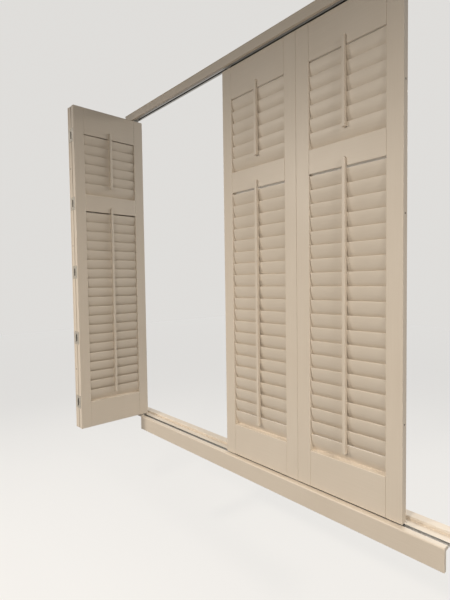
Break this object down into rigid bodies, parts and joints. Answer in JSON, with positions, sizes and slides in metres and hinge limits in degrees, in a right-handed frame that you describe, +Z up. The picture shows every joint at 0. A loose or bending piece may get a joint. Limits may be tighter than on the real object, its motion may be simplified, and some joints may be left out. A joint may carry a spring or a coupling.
{
  "type": "folding louvred shutters",
  "caption": "Painted wooden louvred shutter panels in hinged folding pairs, with tilt rods, running between a head track with fascia and a sill board with guide channel.",
  "frame": {"origin": "middle of the head batten's top face, above the panels' mid-plane", "axes": "+X along the track to the right, +Y to the window, +Z up"},
  "size_m": [1.94, 0.5055, 1.989],
  "materials": {
    "white_wood": "satin white paint on wood",
    "hinge_steel": "dull nickel",
    "zinc_steel": "zinc plated",
    "track_aluminium": "satin anodised",
    "nylon": "moulded nylon on steel pins"
  },
  "bodies": {
    "frame": {"head_batten": "white_wood", "head_fascia": "white_wood", "head_track": "track_aluminium", "guide_channel": "track_aluminium", "sill_board": "white_wood", "sill_rear_board": "white_wood", "sill_nosing": "white_wood", "left_pivot_brackets": "zinc_steel", "right_pivot_brackets": "zinc_steel"},
    "panel_1": {"panel_1": "white_wood", "panel_1_tilt_rods": "white_wood", "panel_1_hinge_leaves": "hinge_steel", "left_pivot_pins": "zinc_steel"},
    "panel_2": {"panel_2": "white_wood", "panel_2_tilt_rods": "white_wood", "panel_2_hinge_leaves": "hinge_steel", "left_guides": "nylon"},
    "panel_4": {"panel_4_left_stile": "white_wood", "panel_4_right_stile": "white_wood", "panel_4_bottom_rail": "white_wood", "panel_4_middle_rail": "white_wood", "panel_4_top_rail": "white_wood", "panel_4_hinge_leaves": "hinge_steel", "right_pivot_pins": "zinc_steel"},
    "panel_3": {"panel_3": "white_wood", "panel_3_tilt_rods": "white_wood", "panel_3_hinge_leaves": "hinge_steel", "right_guides": "nylon"},
    "lower_louvre_01": {"lower_louvre_01": "white_wood"},
    "lower_louvre_02": {"lower_louvre_02": "white_wood"},
    "lower_louvre_03": {"lower_louvre_03": "white_wood"},
    "lower_louvre_04": {"lower_louvre_04": "white_wood"},
    "lower_louvre_05": {"lower_louvre_05": "white_wood"},
    "lower_louvre_06": {"lower_louvre_06": "white_wood"},
    "lower_louvre_07": {"lower_louvre_07": "white_wood"},
    "lower_louvre_08": {"lower_louvre_08": "white_wood"},
    "lower_louvre_09": {"lower_louvre_09": "white_wood"},
    "lower_louvre_10": {"lower_louvre_10": "white_wood"},
    "lower_louvre_11": {"lower_louvre_11": "white_wood"},
    "lower_louvre_12": {"lower_louvre_12": "white_wood"},
    "lower_louvre_13": {"lower_louvre_13": "white_wood"},
    "lower_louvre_14": {"lower_louvre_14": "white_wood"},
    "lower_louvre_15": {"lower_louvre_15": "white_wood"},
    "lower_louvre_16": {"lower_louvre_16": "white_wood"},
    "lower_louvre_17": {"lower_louvre_17": "white_wood"},
    "lower_louvre_18": {"lower_louvre_18": "white_wood"},
    "lower_louvre_19": {"lower_louvre_19": "white_wood"},
    "lower_louvre_20": {"lower_louvre_20": "white_wood"},
    "lower_tilt_rod": {"lower_tilt_rod": "white_wood"},
    "upper_louvre_01": {"upper_louvre_01": "white_wood"},
    "upper_louvre_02": {"upper_louvre_02": "white_wood"},
    "upper_louvre_03": {"upper_louvre_03": "white_wood"},
    "upper_louvre_04": {"upper_louvre_04": "white_wood"},
    "upper_louvre_05": {"upper_louvre_05": "white_wood"},
    "upper_louvre_06": {"upper_louvre_06": "white_wood"},
    "upper_tilt_rod": {"upper_tilt_rod": "white_wood"}
  },
  "joints": [
    {"name": "left_pair_fold", "type": "hinge", "parent": "frame", "child": "panel_1", "pos_m": [-0.931, 0, -1.903], "axis": [0, 0, 1], "range_deg": [0, 90]},
    {"name": "left_pair_hinge", "type": "hinge", "parent": "panel_1", "child": "panel_2", "pos_m": [-0.912, -0.417, -1.903], "axis": [0, 0, 1], "range_deg": [-180, 0]},
    {"name": "right_pair_fold", "type": "hinge", "parent": "frame", "child": "panel_4", "pos_m": [0.797, 0, -1.903], "axis": [0, 0, 1], "range_deg": [0, 90]},
    {"name": "right_pair_hinge", "type": "hinge", "parent": "panel_4", "child": "panel_3", "pos_m": [0.38, 0.019, -1.903], "axis": [0, 0, 1], "range_deg": [-180, 0]},
    {"name": "lower_louvre_01_turn", "type": "hinge", "parent": "panel_4", "child": "lower_louvre_01", "pos_m": [0.4425, 0, -1.71765], "axis": [1, 0, 0], "range_deg": [0, 134]},
    {"name": "lower_louvre_02_turn", "type": "hinge", "parent": "panel_4", "child": "lower_louvre_02", "pos_m": [0.4425, 0, -1.66295], "axis": [1, 0, 0], "range_deg": [0, 134]},
    {"name": "lower_louvre_03_turn", "type": "hinge", "parent": "panel_4", "child": "lower_louvre_03", "pos_m": [0.4425, 0, -1.60825], "axis": [1, 0, 0], "range_deg": [0, 134]},
    {"name": "lower_louvre_04_turn", "type": "hinge", "parent": "panel_4", "child": "lower_louvre_04", "pos_m": [0.4425, 0, -1.55355], "axis": [1, 0, 0], "range_deg": [0, 134]},
    {"name": "lower_louvre_05_turn", "type": "hinge", "parent": "panel_4", "child": "lower_louvre_05", "pos_m": [0.4425, 0, -1.49885], "axis": [1, 0, 0], "range_deg": [0, 134]},
    {"name": "lower_louvre_06_turn", "type": "hinge", "parent": "panel_4", "child": "lower_louvre_06", "pos_m": [0.4425, 0, -1.44415], "axis": [1, 0, 0], "range_deg": [0, 134]},
    {"name": "lower_louvre_07_turn", "type": "hinge", "parent": "panel_4", "child": "lower_louvre_07", "pos_m": [0.4425, 0, -1.38945], "axis": [1, 0, 0], "range_deg": [0, 134]},
    {"name": "lower_louvre_08_turn", "type": "hinge", "parent": "panel_4", "child": "lower_louvre_08", "pos_m": [0.4425, 0, -1.33475], "axis": [1, 0, 0], "range_deg": [0, 134]},
    {"name": "lower_louvre_09_turn", "type": "hinge", "parent": "panel_4", "child": "lower_louvre_09", "pos_m": [0.4425, 0, -1.28005], "axis": [1, 0, 0], "range_deg": [0, 134]},
    {"name": "lower_louvre_10_turn", "type": "hinge", "parent": "panel_4", "child": "lower_louvre_10", "pos_m": [0.4425, 0, -1.22535], "axis": [1, 0, 0], "range_deg": [0, 134]},
    {"name": "lower_louvre_11_turn", "type": "hinge", "parent": "panel_4", "child": "lower_louvre_11", "pos_m": [0.4425, 0, -1.17065], "axis": [1, 0, 0], "range_deg": [0, 134]},
    {"name": "lower_louvre_12_turn", "type": "hinge", "parent": "panel_4", "child": "lower_louvre_12", "pos_m": [0.4425, 0, -1.11595], "axis": [1, 0, 0], "range_deg": [0, 134]},
    {"name": "lower_louvre_13_turn", "type": "hinge", "parent": "panel_4", "child": "lower_louvre_13", "pos_m": [0.4425, 0, -1.06125], "axis": [1, 0, 0], "range_deg": [0, 134]},
    {"name": "lower_louvre_14_turn", "type": "hinge", "parent": "panel_4", "child": "lower_louvre_14", "pos_m": [0.4425, 0, -1.00655], "axis": [1, 0, 0], "range_deg": [0, 134]},
    {"name": "lower_louvre_15_turn", "type": "hinge", "parent": "panel_4", "child": "lower_louvre_15", "pos_m": [0.4425, 0, -0.95185], "axis": [1, 0, 0], "range_deg": [0, 134]},
    {"name": "lower_louvre_16_turn", "type": "hinge", "parent": "panel_4", "child": "lower_louvre_16", "pos_m": [0.4425, 0, -0.89715], "axis": [1, 0, 0], "range_deg": [0, 134]},
    {"name": "lower_louvre_17_turn", "type": "hinge", "parent": "panel_4", "child": "lower_louvre_17", "pos_m": [0.4425, 0, -0.84245], "axis": [1, 0, 0], "range_deg": [0, 134]},
    {"name": "lower_louvre_18_turn", "type": "hinge", "parent": "panel_4", "child": "lower_louvre_18", "pos_m": [0.4425, 0, -0.78775], "axis": [1, 0, 0], "range_deg": [0, 134]},
    {"name": "lower_louvre_19_turn", "type": "hinge", "parent": "panel_4", "child": "lower_louvre_19", "pos_m": [0.4425, 0, -0.73305], "axis": [1, 0, 0], "range_deg": [0, 134]},
    {"name": "lower_louvre_20_turn", "type": "hinge", "parent": "panel_4", "child": "lower_louvre_20", "pos_m": [0.4425, 0, -0.67835], "axis": [1, 0, 0], "range_deg": [0, 134]},
    {"name": "lower_tilt_rod_link", "type": "hinge", "parent": "lower_louvre_01", "child": "lower_tilt_rod", "pos_m": [0.6035, -0.00826, -1.68886], "axis": [1, 0, 0], "range_deg": [-134, 0]},
    {"name": "upper_louvre_01_turn", "type": "hinge", "parent": "panel_4", "child": "upper_louvre_01", "pos_m": [0.4425, 0, -0.51075], "axis": [1, 0, 0], "range_deg": [0, 134]},
    {"name": "upper_louvre_02_turn", "type": "hinge", "parent": "panel_4", "child": "upper_louvre_02", "pos_m": [0.4425, 0, -0.45605], "axis": [1, 0, 0], "range_deg": [0, 134]},
    {"name": "upper_louvre_03_turn", "type": "hinge", "parent": "panel_4", "child": "upper_louvre_03", "pos_m": [0.4425, 0, -0.40135], "axis": [1, 0, 0], "range_deg": [0, 134]},
    {"name": "upper_louvre_04_turn", "type": "hinge", "parent": "panel_4", "child": "upper_louvre_04", "pos_m": [0.4425, 0, -0.34665], "axis": [1, 0, 0], "range_deg": [0, 134]},
    {"name": "upper_louvre_05_turn", "type": "hinge", "parent": "panel_4", "child": "upper_louvre_05", "pos_m": [0.4425, 0, -0.29195], "axis": [1, 0, 0], "range_deg": [0, 134]},
    {"name": "upper_louvre_06_turn", "type": "hinge", "parent": "panel_4", "child": "upper_louvre_06", "pos_m": [0.4425, 0, -0.23725], "axis": [1, 0, 0], "range_deg": [0, 134]},
    {"name": "upper_tilt_rod_link", "type": "hinge", "parent": "upper_louvre_01", "child": "upper_tilt_rod", "pos_m": [0.6035, -0.00826, -0.48196], "axis": [1, 0, 0], "range_deg": [-134, 0]}
  ],
  "couplings": [
    {"joint": "left_pair_hinge", "follows": "left_pair_fold", "ratio": -2},
    {"joint": "right_pair_hinge", "follows": "right_pair_fold", "ratio": -2},
    {"joint": "lower_louvre_02_turn", "follows": "lower_louvre_01_turn", "ratio": 1},
    {"joint": "lower_louvre_03_turn", "follows": "lower_louvre_01_turn", "ratio": 1},
    {"joint": "lower_louvre_04_turn", "follows": "lower_louvre_01_turn", "ratio": 1},
    {"joint": "lower_louvre_05_turn", "follows": "lower_louvre_01_turn", "ratio": 1},
    {"joint": "lower_louvre_06_turn", "follows": "lower_louvre_01_turn", "ratio": 1},
    {"joint": "lower_louvre_07_turn", "follows": "lower_louvre_01_turn", "ratio": 1},
    {"joint": "lower_louvre_08_turn", "follows": "lower_louvre_01_turn", "ratio": 1},
    {"joint": "lower_louvre_09_turn", "follows": "lower_louvre_01_turn", "ratio": 1},
    {"joint": "lower_louvre_10_turn", "follows": "lower_louvre_01_turn", "ratio": 1},
    {"joint": "lower_louvre_11_turn", "follows": "lower_louvre_01_turn", "ratio": 1},
    {"joint": "lower_louvre_12_turn", "follows": "lower_louvre_01_turn", "ratio": 1},
    {"joint": "lower_louvre_13_turn", "follows": "lower_louvre_01_turn", "ratio": 1},
    {"joint": "lower_louvre_14_turn", "follows": "lower_louvre_01_turn", "ratio": 1},
    {"joint": "lower_louvre_15_turn", "follows": "lower_louvre_01_turn", "ratio": 1},
    {"joint": "lower_louvre_16_turn", "follows": "lower_louvre_01_turn", "ratio": 1},
    {"joint": "lower_louvre_17_turn", "follows": "lower_louvre_01_turn", "ratio": 1},
    {"joint": "lower_louvre_18_turn", "follows": "lower_louvre_01_turn", "ratio": 1},
    {"joint": "lower_louvre_19_turn", "follows": "lower_louvre_01_turn", "ratio": 1},
    {"joint": "lower_louvre_20_turn", "follows": "lower_louvre_01_turn", "ratio": 1},
    {"joint": "lower_tilt_rod_link", "follows": "lower_louvre_01_turn", "ratio": -1},
    {"joint": "upper_louvre_02_turn", "follows": "upper_louvre_01_turn", "ratio": 1},
    {"joint": "upper_louvre_03_turn", "follows": "upper_louvre_01_turn", "ratio": 1},
    {"joint": "upper_louvre_04_turn", "follows": "upper_louvre_01_turn", "ratio": 1},
    {"joint": "upper_louvre_05_turn", "follows": "upper_louvre_01_turn", "ratio": 1},
    {"joint": "upper_louvre_06_turn", "follows": "upper_louvre_01_turn", "ratio": 1},
    {"joint": "upper_tilt_rod_link", "follows": "upper_louvre_01_turn", "ratio": -1}
  ]
}
